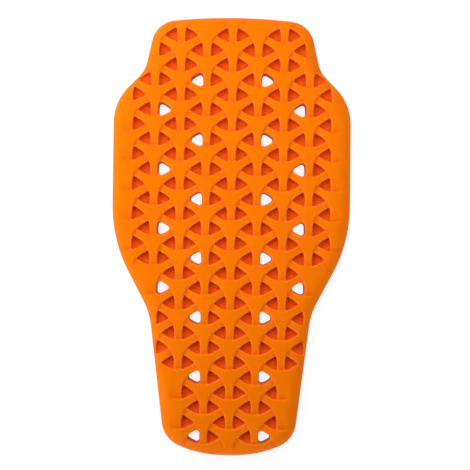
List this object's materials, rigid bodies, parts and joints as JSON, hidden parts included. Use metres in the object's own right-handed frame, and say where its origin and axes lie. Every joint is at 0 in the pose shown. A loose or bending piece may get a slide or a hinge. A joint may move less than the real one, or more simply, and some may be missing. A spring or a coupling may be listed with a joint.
{
  "type": "back protector insert",
  "caption": "Moulded orange elastomer back pad for a jacket's back pocket: waisted outline, interlaced Y-shaped tiles, triangular pits between them and air vents cut through.",
  "frame": {"origin": "centre of the flat back, on the surface that the pad lies on", "axes": "+Z out of the tiled front, +Y along the length towards the neck end, +X across the pad"},
  "size_m": [0.2408, 0.4432, 0.015],
  "materials": {
    "orange_elastomer": "satin"
  },
  "bodies": {
    "root": {"moulded_pad": "orange_elastomer"}
  },
  "joints": []
}
